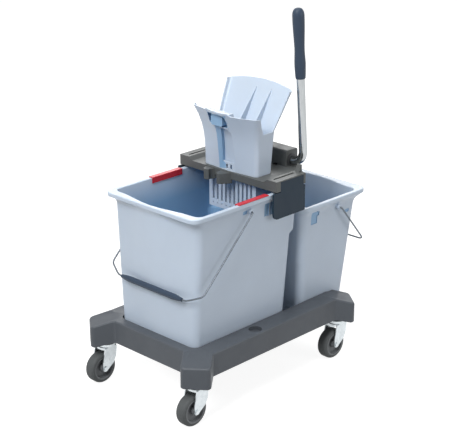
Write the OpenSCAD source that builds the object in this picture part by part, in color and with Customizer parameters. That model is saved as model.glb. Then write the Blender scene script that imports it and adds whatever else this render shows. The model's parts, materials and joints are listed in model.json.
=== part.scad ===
// Double mop bucket trolley with a lever press.
// X runs along the trolley, towards the small bucket. Y runs across it, and the lever is at -Y.
// Z is up. The origin is on the floor, under the middle of the whole trolley.

/* [Castors] */
// Diameter of each wheel
wheel_d = 75; // [60:1:90]
// Width of the tyre
tyre_w = 28; // [20:1:30]
// Radial thickness of the tyre
tyre_t = 8.5; // [5:0.5:12]
// Distance between the swivel axes along the trolley
castor_span_x = 484; // [440:1:520]
// Distance between the swivel axes across the trolley
castor_span_y = 310; // [280:1:340]
// Distance from the swivel axis back to the axle
castor_trail = 21; // [15:1:28]
// Height from the floor to the underside of the chassis arms
castor_h = 97; // [94:1:115]
// Outside width of the fork
fork_w = 38; // [36:1:42]
// Thickness of the fork's sheet steel
fork_t = 2.5; // [1.5:0.1:3]
// Width of the fork's crown along the trolley
crown_w = 47; // [40:1:54]
// Diameter of the axle bolt
axle_d = 8; // [6:0.5:10]
// Diameter of the push-in stem
stem_d = 11; // [8:0.5:14]
// Length of the stem inside the arm
stem_l = 34; // [24:1:40]

/* [Chassis] */
// Outside length over the end rails
chassis_l = 496; // [480:1:520]
// Outside width over the side rails
chassis_w = 350; // [340:1:370]
// Height of the ledge round the buckets
ledge_z = 163; // [150:1:175]
// Height of the underside of the rails
rail_z = 106; // [102:1:112]
// Thickness of the tray floor
tray_t = 12; // [8:1:16]
// Width of the end ledge in front of the large bucket
end_ledge = 25; // [18:1:32]
// Wall thickness of the hollow rails
rail_wall = 4; // [3:0.5:6]
// Width of a corner arm
arm_w = 69; // [56:1:80]
// Distance that an arm reaches past its swivel axis
arm_reach = 38; // [30:1:48]
// Direction of the arms, measured from the long side
arm_angle = 38; // [32:1:44]
// Drop of an arm's top from the ledge to its tip
arm_drop = 15; // [6:1:22]
// Length of the sloping part of an arm
arm_slope_l = 50; // [40:1:60]
// Radius of the arm's outer corners
arm_corner_r = 10; // [6:1:18]
// Radius of the blend between an arm and a rail
arm_blend_r = 9; // [6:1:16]
// Radius of the rounded top edges
edge_r = 4; // [2:0.5:6]
// Height of the low sill behind the small bucket, above the tray floor
sill_h = 12; // [6:1:20]

/* [Large bucket] */
// Height of the large bucket
large_h = 359; // [330:1:390]
// Length of the large bucket at its rim, at the corners
large_rim_l = 333; // [325:1:345]
// How much shorter the large bucket is at its base
large_taper = 30; // [24:1:36]
// Extra length at the rim where the front wall bows out
large_bow = 15; // [5:1:18]
// Height of the shoulder in the rear wall
shoulder_z = 240; // [200:1:280]
// Depth of the shoulder in the rear wall
shoulder_d = 12; // [4:1:16]
// Distance from the rear rim forward to the bail pivot
large_pivot_x = 172; // [150:0.5:185]
// Depth of the bail pivots below both rims
pivot_depth = 25; // [22:0.5:35]
// Length of a colour clip
clip_l = 97; // [80:1:110]
// Distance from the rear rim forward to the near end of the clips
clip_x = 117; // [112:1:130]

/* [Small bucket] */
// Height of the small bucket
small_h = 291; // [260:1:310]
// Length of the small bucket at its base
small_base_l = 156; // [140:1:165]
// Length of the small bucket at its rim, at the corners
small_rim_l = 206.5; // [195:0.5:215]
// Distance of the base from the rim's flat end
small_base_x = 15.5; // [8:0.5:20]
// Extra length at the rim where the rear wall bows out
small_bow = 15; // [5:1:20]
// Gap between the buckets at their rims
bucket_gap = 10.5; // [9:0.5:20]
// Distance from the flat end of the rim to the bail pivot
small_pivot_x = 129.5; // [110:0.5:140]

/* [Both buckets] */
// Half width of the buckets at the base
base_half = 122.6; // [115:0.2:126]
// Half width of the large bucket at the rim
large_rim_half = 140; // [135:0.5:142]
// Half width of the small bucket at the rim
small_rim_half = 138; // [134:0.5:141]
// Wall thickness of the buckets
bucket_wall = 2.8; // [2:0.1:3.5]
// Corner radius at the flat ends
flat_r = 20; // [14:1:28]
// Corner radius at the bowed ends
bow_r = 18; // [14:1:28]
// Radius between the walls and the base
base_r = 10; // [6:1:14]
// Overhang of the rim on the long sides
rim_side = 8; // [7:0.5:9]
// Overhang of the rim at the flat ends
rim_flat = 4.5; // [3.5:0.5:4.5]
// Overhang of the rim at the corners of the bowed ends
rim_bow = 21; // [19:0.5:28]
// Depth of the rim's upright edge
skirt_h = 9; // [6:1:12]
// Height of the curve between a wall and its rim
fillet_h = 22; // [12:1:28]
// Diameter of the bail wire
wire_d = 4; // [3:0.5:5]
// Diameter of the bail grips
bail_grip_d = 14; // [11:1:18]
// Length of the large bail's grip
large_grip_l = 200; // [120:1:210]
// Length of the small bail's grip
small_grip_l = 110; // [90:1:160]
// Length of the large bail from its pivot to its grip
large_bail_r = 247; // [238:1:265]
// Length of the small bail from its pivot to its grip
small_bail_r = 139; // [134:1:160]
// Angle below level at which the small bail's stiff ends hold it
small_bail_hang = 50.2; // [40:0.2:54]

/* [Press frame] */
// Height of the deck above the large bucket's rim
deck_h = 22; // [21:0.5:26]
// Thickness of the deck
deck_t = 4; // [3:0.5:5]
// Depth of the frame's edges below the deck
frame_h = 17; // [14:0.5:18]
// Height of the raised side strips above the deck
strip_h = 8; // [4:0.5:12]
// Distance from the rear rim forward to the frame's front edge
frame_front = 102; // [95:1:110]
// Distance from the front edge back to the rear end of the sides
frame_side_l = 100; // [94:1:108]
// Distance of the frame's sides beyond the large bucket's rim
frame_over = 9; // [8:0.5:14]
// Thickness of the side plates
plate_t = 5; // [3:0.5:6]
// Distance of the side plates' lower edge below the rim
plate_drop = 60; // [40:1:80]
// Length of the slot in each side strip
slot_l = 69; // [50:1:76]
// Width of the slot in each side strip
slot_w = 5.5; // [4:0.5:8]
// Diameter of the mop handle that the front clip holds
mop_d = 28; // [22:1:30]
// Distance from the rear rim back to the lever shaft
shaft_x = 36; // [34:0.5:38]
// Height of the lever shaft above the deck
shaft_z = 14; // [13:0.5:15]
// Length of the shaft housing along the trolley
housing_l = 41; // [40:0.5:44]
// Half width of the shaft housing
housing_half = 78; // [74:1:84]
// Height of the shaft housing above the deck
housing_h = 39; // [36:1:44]
// Wall thickness of the shaft housing
housing_wall = 3; // [2.5:0.5:3.5]

/* [Lever] */
// Diameter of the lever tube
lever_d = 20; // [18:0.5:21]
// Wall thickness of the lever tube
lever_t = 1.5; // [1:0.1:2]
// Distance of the upright part from the trolley's middle
lever_y = 117; // [114:1:130]
// Height of the lever above its shaft
lever_h = 372; // [330:1:400]
// Lean of the upright lever towards the large bucket
lever_lean = 4.4; // [0:0.2:5]
// Centreline radius of the lever's bend
lever_bend_r = 30; // [28:1:32]
// Length of the hand grip
hand_grip_l = 165; // [140:1:190]
// Largest diameter of the hand grip
hand_grip_d = 28; // [25:0.5:32]
// Diameter of the drive shaft
shaft_d = 14; // [12:0.5:15]
// Distance from the shaft to the crank pins
crank_r = 25; // [24:0.5:25.5]
// Diameter of the crank pins
crank_pin_d = 6; // [5:0.5:6.5]
// Angle of the cranks behind straight down, with the lever upright
crank_back = 25; // [22:1:26]

/* [Sieve and press plate] */
// Half width of the sieve
sieve_half = 76; // [70:1:78]
// Length of the sieve along the trolley
sieve_l = 75.5; // [74:0.5:78]
// Depth of the sieve below the deck
sieve_depth = 105; // [90:1:120]
// Wall thickness of the sieve
sieve_wall = 3; // [2:0.5:4]
// Number of slots in the sieve's front
sieve_slots = 10; // [6:1:12]
// Width of the slots in the sieve's front
sieve_slot_w = 6; // [4:0.5:8]
// Thickness of the press plate
press_t = 8; // [6:0.5:9]
// Thickness of the pusher
pusher_t = 3.6; // [3:0.1:4]

/* [Funnel] */
// Half width of the funnel's foot
funnel_half = 86; // [82:1:90]
// Length of the funnel's foot along the trolley
funnel_l = 54; // [48:1:56]
// Height of the funnel's front wall
funnel_front_h = 142; // [120:1:160]
// Height of the funnel's side walls
funnel_side_h = 98; // [80:1:110]
// Height of the back plate at its corners
funnel_back_h = 186; // [170:1:200]
// Rise of the back plate's arched top
funnel_arch = 12; // [4:1:18]
// Distance that the front wall flares forward
funnel_flare_x = 20; // [8:1:24]
// Distance that each side wall flares outward
funnel_flare_y = 21; // [12:1:22]
// Distance that the back plate leans back
funnel_lean = 55; // [40:1:56]
// Wall thickness of the funnel
funnel_wall = 3; // [2:0.5:4]
// Half width of the slot in the front wall
funnel_slot = 25.5; // [20:0.5:28]

/* [Hidden] */
$fn = 64;

// Clearances
run_fit = 0.05;
press_gap = 0.02;
seat_gap = 0.3;
tray_fit = 4;

// Facets of the rounded outlines
arc_steps = 6;
bow_steps = 7;

// Colours
blue_grey = [0.72, 0.78, 0.85];
dark_grey = [0.34, 0.35, 0.38];
press_grey = [0.36, 0.37, 0.36];
plate_grey = [0.22, 0.26, 0.30];
grip_grey = [0.22, 0.27, 0.35];
zinc = [0.76, 0.79, 0.80];
chrome = [0.80, 0.82, 0.83];
tyre_grey = [0.33, 0.35, 0.36];
hub_grey = [0.45, 0.46, 0.48];
clip_red = [0.75, 0.18, 0.22];
bush_grey = [0.16, 0.17, 0.18];

// Levels
tray_z = rail_z + tray_t;
large_rim_z = tray_z + large_h;
small_rim_z = tray_z + small_h;
deck_z = large_rim_z + deck_h;
frame_z = deck_z - frame_h;
axle_z = wheel_d / 2;
shaft_axis_z = deck_z + shaft_z;
large_pivot_z = large_rim_z - pivot_depth;
small_pivot_z = small_rim_z - pivot_depth;

// Places along the trolley
large_x0 = -chassis_l / 2 + end_ledge + tray_fit;
large_x1 = large_x0 + large_rim_l;
large_base_l = large_rim_l - large_taper;
small_x0 = large_x1 + bucket_gap;
small_x1 = small_x0 + small_rim_l;
small_rim_x1 = small_x1 + rim_bow + 6;
frame_half = large_rim_half + rim_side + frame_over;
frame_x0 = large_x1 - frame_front;
frame_x1 = frame_x0 + frame_side_l;
shaft_axis_x = large_x1 + shaft_x;
housing_x0 = shaft_axis_x - housing_l / 2 + 1.5;
housing_x1 = housing_x0 + housing_l;
sieve_x0 = frame_x0 + 18;
funnel_x0 = frame_x0 + 9;
trolley_x0 = -castor_span_x / 2 - castor_trail - wheel_d / 2;
origin_x = (trolley_x0 + small_rim_x1) / 2;

// Pivots and bails
large_pivot = large_x1 - large_pivot_x;
small_pivot = small_x0 + small_pivot_x;
ear_y = large_rim_half + 7;
ear_r = 6.5;
mark_d = 1.4;
bail_gap = 2;
bail_y = ear_y + wire_d / 2 + bail_gap;
large_shoulder = 23;
bail_bend_r = 16;
ear_depth = 5;
base_bow = 2;

// Angle below level at which a bail's grip lies on its bucket's bowed wall.
// wall holds the wall's distance from the pivot at the tray floor, and its run over the bucket's height.
function bail_rest(r, wall, pivot_h, h, a = 45, n = 8) =
    n == 0 ? a
    : bail_rest(r, wall, pivot_h, h,
        acos((wall[0] + wall[1] * (pivot_h - r * sin(a)) / h + bail_grip_d / 2 + seat_gap) / r), n - 1);
large_bail_angle = bail_rest(large_bail_r, [large_pivot - large_x0 + base_bow, large_bow - base_bow],
    large_h - pivot_depth, large_h);
small_base_x1 = small_x0 + small_base_x + small_base_l;
small_bail_angle = min(small_bail_hang, bail_rest(small_bail_r,
    [small_base_x1 + base_bow - small_pivot, small_x1 + small_bow - small_base_x1 - base_bow],
    small_h - pivot_depth, small_h));

// Pusher levels, between the rim and the deck
pusher_z = large_rim_z + 3.6;
pusher_half = 60;
yoke_top_z = deck_z - deck_t - 0.4;
crank_y = 45;
crank_t = 8;
yoke_y0 = crank_y + crank_t / 2 + 1.5;
yoke_y1 = yoke_y0 + 6;
pin_relief = 1.5;
yoke_play = 0.8;
crank_pin_x = shaft_axis_x + crank_r * sin(crank_back);
crank_pin_z = shaft_axis_z - crank_r * cos(crank_back);
press_x1 = sieve_x0 + sieve_l - 9.5;
flange_t = 3;

// Outlines and lofts

function unit(v) = v / norm(v);
function flat(p) = [p[0], p[1]];

// Arc that rounds the corner b between its neighbours a and c
function corner_arc(a, b, c, r, n) =
    let (u = unit(a - b))
    let (w = unit(c - b))
    let (half = acos(u * w) / 2)
    let (centre = b + unit(u + w) * r / sin(half))
    let (p0 = b + u * r / tan(half) - centre)
    let (p1 = b + w * r / tan(half) - centre)
    let (a0 = atan2(p0.y, p0.x))
    let (turn = ((atan2(p1.y, p1.x) - a0 + 540) % 360) - 180)
    [for (i = [0:n]) centre + r * [cos(a0 + turn * i / n), sin(a0 + turn * i / n)]];

// Closed outline from corners given as [x, y, radius]
function rounded(corners, n = arc_steps) =
    let (m = len(corners))
    [for (i = [0:m - 1]) each corner_arc(
        flat(corners[(i + m - 1) % m]), flat(corners[i]), flat(corners[(i + 1) % m]), corners[i][2], n)];

// The same corners moved inward by d, for corners that run counter-clockwise
function inset(corners, d) =
    let (m = len(corners))
    [for (i = [0:m - 1])
        let (e1 = unit(flat(corners[i]) - flat(corners[(i + m - 1) % m])))
        let (e2 = unit(flat(corners[(i + 1) % m]) - flat(corners[i])))
        let (n1 = [-e1.y, e1.x])
        let (n2 = [-e2.y, e2.x])
        let (convex = e1.x * e2.y - e1.y * e2.x > 0)
        let (p = flat(corners[i]) + d * (n1 + n2) / (1 + n1 * n2))
        [p.x, p.y, max(1, corners[i][2] + (convex ? -d : d))]];

// Outline from u0 to u1 with rounded corners, whose end at u1 bows out.
// w is the half width at u1, and v the half width at u0 where it differs.
function bowed(u0, u1, w, r0, r1, bow, v = 0) =
    let (span = w - r1)
    let (w0 = v > 0 ? v : w)
    concat(
        corner_arc([u0, w0], [u0, -w0], [u1, -w], r0, arc_steps),
        corner_arc([u0, -w0], [u1, -w], [u1, w], r1, arc_steps),
        [for (i = [1:bow_steps])
            let (s = 2 * i / (bow_steps + 1) - 1)
            [u1 + bow * pow(cos(90 * s), 2), span * s]],
        corner_arc([u1, -w], [u1, w], [u0, w0], r1, arc_steps),
        corner_arc([u1, w], [u0, w0], [u0, -w0], r0, arc_steps));

function at_z(outline, z) = [for (p = outline) [p.x, p.y, z]];

function side_faces(k0, k1, n) = [for (i = [0:n - 1])
    let (j = (i + 1) % n)
    each [[k0 * n + i, k1 * n + i, k1 * n + j], [k0 * n + i, k1 * n + j, k0 * n + j]]];

// Skin through rings with equal counts of points, closed by the first and last ring
module capped_loft(rings) {
    n = len(rings[0]);
    last = len(rings) - 1;
    polyhedron(
        points = [for (ring = rings) each ring],
        faces = concat(
            [[for (i = [0:n - 1]) i]],
            [for (k = [0:last - 1]) each side_faces(k, k + 1, n)],
            [[for (i = [0:n - 1]) last * n + n - 1 - i]]));
}

// Skin through rings that returns to its first ring
module ring_loft(rings) {
    n = len(rings[0]);
    m = len(rings);
    polyhedron(
        points = [for (ring = rings) each ring],
        faces = [for (k = [0:m - 1]) each side_faces(k, (k + 1) % m, n)]);
}

// Helpers for round and bent pieces

module along_y(x, z, y0, y1, r) {
    translate([x, y0, z]) rotate([-90, 0, 0]) cylinder(h = y1 - y0, r = r);
}

module along_x(y, z, x0, x1, r) {
    translate([x0, y, z]) rotate([0, 90, 0]) cylinder(h = x1 - x0, r = r);
}

module ring(r0, r1, h) {
    difference() {
        cylinder(h = h, r = r1);
        translate([0, 0, -1]) cylinder(h = h + 2, r = r0);
    }
}

// Distance from each corner of a path to where its bend begins, with a bend radius for each corner
function bend_cuts(points, bend_r) =
    let (last = len(points) - 1)
    [for (i = [0:last])
        i == 0 || i == last ? 0
        : let (u = unit(points[i - 1] - points[i]))
          let (w = unit(points[i + 1] - points[i]))
          bend_r[i] / tan(acos(u * w) / 2)];

// Straight lengths of a round rod along points in the XY plane
module rod_lengths(points, bend_r, r) {
    cut = bend_cuts(points, bend_r);
    for (i = [0:len(points) - 2]) {
        d = unit(points[i + 1] - points[i]);
        length = norm(points[i + 1] - points[i]) - cut[i] - cut[i + 1];
        translate(concat(points[i] + d * cut[i], 0))
            rotate([0, 90, atan2(d.y, d.x)])
                cylinder(h = length, r = r);
    }
}

// Round rod with true round bends at the inner points of its path
module bent_rod(points, bend_r, r) {
    cut = bend_cuts(points, bend_r);
    rod_lengths(points, bend_r, r);
    for (i = [1:len(points) - 2]) {
        u = unit(points[i - 1] - points[i]);
        w = unit(points[i + 1] - points[i]);
        half = acos(u * w) / 2;
        centre = points[i] + unit(u + w) * bend_r[i] / sin(half);
        towards = points[i] + u * cut[i] - centre;
        start = atan2(towards.y, towards.x);
        sweep = 180 - 2 * half;
        translate(concat(centre, 0))
            rotate([0, 0, u.x * w.y > u.y * w.x ? start - sweep : start])
                rotate_extrude(angle = sweep) translate([bend_r[i], 0]) circle(r = r);
    }
}

// Thin wire along a path, whose bends are skinned and lap into its straight lengths
module bent_wire(points, bend_r, r) {
    sides = 16;
    lap = 0.8;
    skin_r = r - 0.01;
    cut = bend_cuts(points, bend_r);
    rod_lengths(points, bend_r, r);
    for (i = [1:len(points) - 2]) {
        u = unit(points[i - 1] - points[i]);
        w = unit(points[i + 1] - points[i]);
        half = acos(u * w) / 2;
        centre = points[i] + unit(u + w) * bend_r[i] / sin(half);
        towards = points[i] + u * cut[i] - centre;
        start = atan2(towards.y, towards.x);
        turn = u.x * w.y > u.y * w.x ? -1 : 1;
        sweep = turn * (180 - 2 * half);
        steps = max(2, ceil(abs(sweep) / 18));
        hoop = function (mid, a) [for (k = [0:sides - 1])
            let (b = 360 * k / sides)
            concat(mid + skin_r * cos(b) * [cos(a), sin(a)], -turn * skin_r * sin(b))];
        capped_loft(concat(
            [hoop(points[i] + u * (cut[i] + lap), start)],
            [for (k = [0:steps])
                let (a = start + sweep * k / steps)
                hoop(centre + bend_r[i] * [cos(a), sin(a)], a)],
            [hoop(points[i] + w * (cut[i] + lap), start + sweep)]));
    }
}

// Chassis

arm_d = [cos(arm_angle), sin(arm_angle)];
arm_n = [-sin(arm_angle), cos(arm_angle)];
swivel = [castor_span_x / 2, castor_span_y / 2];
arm_tip = swivel + arm_reach * arm_d;
arm_a = arm_tip - arm_w / 2 * arm_n;
arm_b = arm_tip + arm_w / 2 * arm_n;
arm_root_a = arm_a - arm_d * (arm_a.x - chassis_l / 2) / arm_d.x;
arm_root_b = arm_b - arm_d * (arm_b.y - chassis_w / 2) / arm_d.y;

// Corners of one arm in the first quadrant, from the end rail round to the side rail
arm_corners = [
    [arm_root_a.x, arm_root_a.y, arm_blend_r],
    [arm_a.x, arm_a.y, arm_corner_r],
    [arm_b.x, arm_b.y, arm_corner_r],
    [arm_root_b.x, arm_root_b.y, arm_blend_r]
];
function flipped(list) = [for (i = [len(list) - 1:-1:0]) list[i]];
function in_quadrant(list, sx, sy) =
    let (placed = [for (c = list) concat([sx * c[0], sy * c[1]], len(c) > 2 ? [c[2]] : [])])
    sx * sy > 0 ? placed : flipped(placed);
quadrants = [[1, 1], [-1, 1], [-1, -1], [1, -1]];
chassis_corners = [for (q = quadrants) each in_quadrant(arm_corners, q[0], q[1])];

// Height of the chassis top at a point: level on the ledge and sloping down along an arm
function top_z(p) =
    let (s = [abs(p.x), abs(p.y)] * arm_d - swivel * arm_d)
    ledge_z - arm_drop * max(0, min(1, (s - arm_reach + arm_slope_l) / arm_slope_l));

// Height of the underside at a point: level under the rails and lower under the castors
function bottom_z(p) =
    let (s = [abs(p.x), abs(p.y)] * arm_d - swivel * arm_d)
    rail_z - (rail_z - castor_h) * max(0, min(1, (s + 8) / 16));

// Crease at the root of each arm, and the edge of the tray, with one point per outline point
arm_points = 4 * (arc_steps + 1);
crease_a = arm_root_a - [edge_r + 2, edge_r + 4];
crease_b = arm_root_b - [edge_r + 4, edge_r + 3];
crease_arm = [for (i = [0:arm_points - 1]) crease_a + (crease_b - crease_a) * i / (arm_points - 1)];
crease = [for (q = quadrants) each in_quadrant(crease_arm, q[0], q[1])];
tray_half = base_half + (large_rim_half - base_half) * (ledge_z - tray_z) / large_h + 3;
tray_x = chassis_l / 2 - end_ledge;
tray_r = bow_r + 2;
tray_arm = corner_arc([tray_x, 0], [tray_x, tray_half], [0, tray_half], tray_r, arm_points - 1);
tray_edge = [for (q = quadrants) each in_quadrant(tray_arm, q[0], q[1])];

function chassis_ring(d, drop) =
    [for (p = rounded(inset(chassis_corners, d))) [p.x, p.y, top_z(p) - drop]];

// Ring round the underside, which drops from the rails to the castors along each arm
function foot_ring(d, rise) =
    [for (p = rounded(inset(chassis_corners, d))) [p.x, p.y, bottom_z(p) + rise]];

module chassis_body() {
    capped_loft(concat(
        [at_z(tray_edge, rail_z), at_z(crease, rail_z)],
        [foot_ring(2, 0), foot_ring(0, 2)],
        [for (a = [0:30:90]) chassis_ring(edge_r * (1 - cos(a)), edge_r * (1 - sin(a)))],
        [at_z(crease, ledge_z), at_z(tray_edge, ledge_z), at_z(tray_edge, tray_z)]));
}

// Level pad under an arm that takes the castor's head
module arm_pad(sx, sy) {
    translate([sx * swivel.x, sy * swivel.y, castor_h]) cylinder(h = rail_z - castor_h + 12, r = crown_w / 2);
}

// Round cup in each long ledge
recess_r = 16;
recess_h = 9;

module ledge_cups(r, h) {
    for (sy = [-1, 1])
        translate([-50, sy * (tray_half + chassis_w / 2) / 2, ledge_z - h]) cylinder(h = h, r = r);
}

module chassis() {
    side_w = chassis_w / 2 - tray_half;
    small_half = tray_half - 1;
    bay_l = (2 * arm_root_b.x - 60) / 3;
    rear_x = small_base_x1 + tray_fit;
    divider_x0 = large_x0 + large_base_l + tray_fit;
    divider_x1 = small_x0 + small_base_x - tray_fit - 1;
    color(dark_grey) difference() {
        union() {
            difference() {
                chassis_body();
                translate([0, -small_half, tray_z]) cube([rear_x + 60, 2 * small_half, 100]);
                for (sy = [-1, 1], i = [-1:1])
                    translate([i * (bay_l + 8) - bay_l / 2,
                            sy > 0 ? tray_half + rail_wall : -chassis_w / 2 + rail_wall, rail_z - 1])
                        cube([bay_l, side_w - 2 * rail_wall, ledge_z - rail_wall - rail_z + 1]);
                translate([-chassis_l / 2 + rail_wall, -tray_half + 40, rail_z - 1])
                    cube([end_ledge - 2 * rail_wall, 2 * tray_half - 80, ledge_z - rail_wall - rail_z + 1]);
            }
            translate([0, 0, -1]) ledge_cups(recess_r + 2.5, recess_h + 1.5);
            for (q = quadrants) arm_pad(q[0], q[1]);
            translate([tray_x - 20, -small_half, rail_z + 0.5])
                cube([rear_x + 12 - tray_x + 20, 2 * small_half, tray_t - 0.5]);
            translate([rear_x + 4, -small_half, rail_z + 0.5])
                cube([8, 2 * small_half, tray_t - 0.5 + sill_h]);
            translate([divider_x0, -100, tray_z - 1]) cube([divider_x1 - divider_x0, 200, sill_h - 2]);
        }
        for (q = quadrants)
            translate([q[0] * swivel.x, q[1] * swivel.y, castor_h - 1])
                cylinder(h = stem_l + 3, r = stem_d / 2 + press_gap);
        ledge_cups(recess_r, recess_h);
        translate([0, 0, recess_h]) ledge_cups(recess_r, recess_h);
    }
}

// Castors

crown_gap = seat_gap;
head_h = 8;
head_z = castor_h - head_h;
crown_z = head_z - crown_gap;
crown_t = 5;
kingpin_d = 10;

module at_castor(sx, sy) {
    translate([sx * swivel.x, sy * swivel.y, 0]) children();
}

module castor_head(sx, sy) {
    color(zinc) at_castor(sx, sy) {
        translate([0, 0, head_z]) cylinder(h = head_h, r = crown_w / 2 - 2.5);
        translate([0, 0, castor_h]) cylinder(h = stem_l, r = stem_d / 2);
        translate([0, 0, crown_z - crown_t - 3]) cylinder(h = crown_t + 4, r = kingpin_d / 2);
        translate([0, 0, crown_z - crown_t - 3 - seat_gap]) cylinder(h = 3, r = kingpin_d / 2 + 2);
    }
}

// Cheek of a fork: broad under the crown, and cut back below to the axle's eye
module fork_cheek() {
    eye_x = -castor_trail;
    top = crown_z - 1;
    polygon(rounded([
        [eye_x + 1, top, 1], [eye_x - 7.5, axle_z + 15, 12], [eye_x - 7, axle_z - 7.5, 7],
        [eye_x + 3, axle_z - 7.5, 6], [eye_x + 26, axle_z + 9, 10], [eye_x + 34, axle_z + 25, 20],
        [eye_x + 37, top, 1]
    ]));
}

module castor_fork(sx, sy) {
    color(zinc) at_castor(sx, sy) difference() {
        union() {
            for (y = [-fork_w / 2 + fork_t, fork_w / 2])
                translate([0, y, 0]) rotate([90, 0, 0]) linear_extrude(fork_t) fork_cheek();
            intersection() {
                translate([0, 0, crown_z - crown_t]) cylinder(h = crown_t, r = crown_w / 2);
                translate([-50, -fork_w / 2, 0]) cube([100, fork_w, 200]);
            }
        }
        translate([0, 0, crown_z - crown_t - 1]) cylinder(h = crown_t + 2, r = kingpin_d / 2 + run_fit);
        along_y(-castor_trail, axle_z, -fork_w, fork_w, axle_d / 2 + press_gap);
    }
}

module castor_axle(sx, sy) {
    head_t = 2.5;
    head_r = 5.5;
    end = fork_w / 2;
    color(zinc) at_castor(sx, sy) {
        along_y(-castor_trail, axle_z, -end, end, axle_d / 2);
        along_y(-castor_trail, axle_z, -end - head_t, -end, head_r);
        along_y(-castor_trail, axle_z, end, end + head_t, head_r);
    }
}

hub_r = wheel_d / 2 - tyre_t;
hub_half = fork_w / 2 - fork_t - 0.5;

module castor_hub(sx, sy) {
    bore_r = axle_d / 2 + run_fit;
    rim_half = tyre_w / 2;
    web_half = 5;
    boss_r = axle_d / 2 + 5;
    color(hub_grey) at_castor(sx, sy)
        translate([-castor_trail, 0, axle_z]) rotate([90, 0, 0]) rotate_extrude()
            polygon([
                [bore_r, -hub_half], [boss_r, -hub_half], [boss_r + 1, -web_half], [hub_r - 5, -web_half],
                [hub_r - 3, -rim_half], [hub_r, -rim_half], [hub_r, rim_half], [hub_r - 3, rim_half],
                [hub_r - 5, web_half], [boss_r + 1, web_half], [boss_r, hub_half], [bore_r, hub_half]
            ]);
}

module castor_tyre(sx, sy) {
    half = tyre_w / 2;
    crown = tyre_t - 1;
    outer = wheel_d / 2;
    inner = hub_r + press_gap;
    color(tyre_grey) at_castor(sx, sy)
        translate([-castor_trail, 0, axle_z]) rotate([90, 0, 0]) rotate_extrude()
            polygon(concat(
                [[inner, half], [inner, -half]],
                [for (a = [0:15:90]) [outer - crown + crown * sin(a), -half + crown - crown * cos(a)]],
                [for (a = [90:15:180]) [outer - crown + crown * sin(a), half - crown - crown * cos(a)]]));
}

// Buckets

// Half width of a bucket at a height over its base
function wall_half(z, rim_half, h) = base_half + (rim_half - base_half) * z / h;

// Shell of a bucket with its flat end at low u and its bowed end at high u.
// ends holds the flat and bowed ends at the base, then at the rim.
module bucket_shell(ends, rim_half, h, bow, step_z, step, rim_u1) {
    in_r = base_r - 2;
    floor_t = bucket_wall + 0.4;
    outline = function (z, d)
        let (t = z / h)
        let (shift = z > step_z ? step : 0)
        at_z(bowed(
            ends[0] + (ends[2] + step - ends[0]) * t - shift + d,
            ends[1] + (ends[3] - ends[1]) * t - d,
            wall_half(z, rim_half, h) - d,
            flat_r - min(d, flat_r - 3), bow_r - min(d, bow_r - 3),
            base_bow + (bow - base_bow) * t), z);
    flange = function (z, d)
        at_z(bowed(ends[2] - rim_flat + d, rim_u1 - d, rim_half + rim_side - d,
            flat_r + rim_flat - d, bow_r + 4 - d, 0), z);
    lift = function (z, k)
        let (wall = outline(z, 0))
        let (edge = flange(z, 0))
        [for (i = [0:len(wall) - 1]) wall[i] + (edge[i] - wall[i]) * k];
    fillet_steps = [0.35, 0.6, 0.8, 1];
    capped_loft(concat(
        [for (a = [0:30:90]) outline(base_r * (1 - cos(a)), base_r * (1 - sin(a)))],
        [outline(step_z, 0), outline(step_z + step / 2 + 1, 0), outline(h - skirt_h - fillet_h, 0)],
        [for (k = fillet_steps) lift(h - skirt_h - fillet_h * (1 - k), pow(k, 2.4))],
        [flange(h - 1.5, 0), flange(h, 1.5), outline(h, bucket_wall - 1.5), outline(h - 1.5, bucket_wall)],
        [outline(step_z + step / 2 + 1 + bucket_wall, bucket_wall), outline(step_z - 0.01, bucket_wall)],
        [for (a = [90:-30:0]) outline(floor_t + in_r * (1 - cos(a)), bucket_wall + in_r * (1 - sin(a)))]));
}

// Ear under the rim that takes the bail's end
module bail_ear(x, z, rim_half, h) {
    y0 = wall_half(h - pivot_depth, rim_half, h) - bucket_wall + 1;
    for (sy = [0, 1]) mirror([0, sy, 0]) along_y(x, z, -ear_y, -y0, ear_r);
}

module bail_holes(x, z) {
    for (sy = [0, 1]) mirror([0, sy, 0]) along_y(x, z, -ear_y - 1, -ear_y + ear_depth, wire_d / 2 + run_fit);
}

// Shallow moulded recess in each side wall, with its middle at x and z
module wall_mark(x, z, w, h, rim_half, bucket_h) {
    slope = atan((rim_half - base_half) / bucket_h);
    y = wall_half(z - tray_z, rim_half, bucket_h);
    for (sy = [0, 1]) mirror([0, sy, 0])
        translate([x, -y, z]) rotate([slope, 0, 0])
            translate([-w / 2, -rim_side, -h / 2]) cube([w, rim_side + mark_d, h]);
}

module large_bucket() {
    base_x1 = large_x0 + large_base_l;
    color(blue_grey) difference() {
        union() {
            translate([0, 0, tray_z]) mirror([1, 0, 0])
                bucket_shell([-base_x1, -large_x0, -large_x1, -large_x0], large_rim_half, large_h, large_bow,
                    shoulder_z, shoulder_d, -large_x0 + rim_bow);
            bail_ear(large_pivot, large_pivot_z, large_rim_half, large_h);
        }
        bail_holes(large_pivot, large_pivot_z);
        wall_mark(large_pivot + 58, large_pivot_z - 11, 15, 32, large_rim_half, large_h);
        wall_mark(large_pivot + 74.5, large_pivot_z - 11, 11, 32, large_rim_half, large_h);
        wall_mark(large_pivot - 15, large_pivot_z, 13, 9, large_rim_half, large_h);
    }
}

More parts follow.
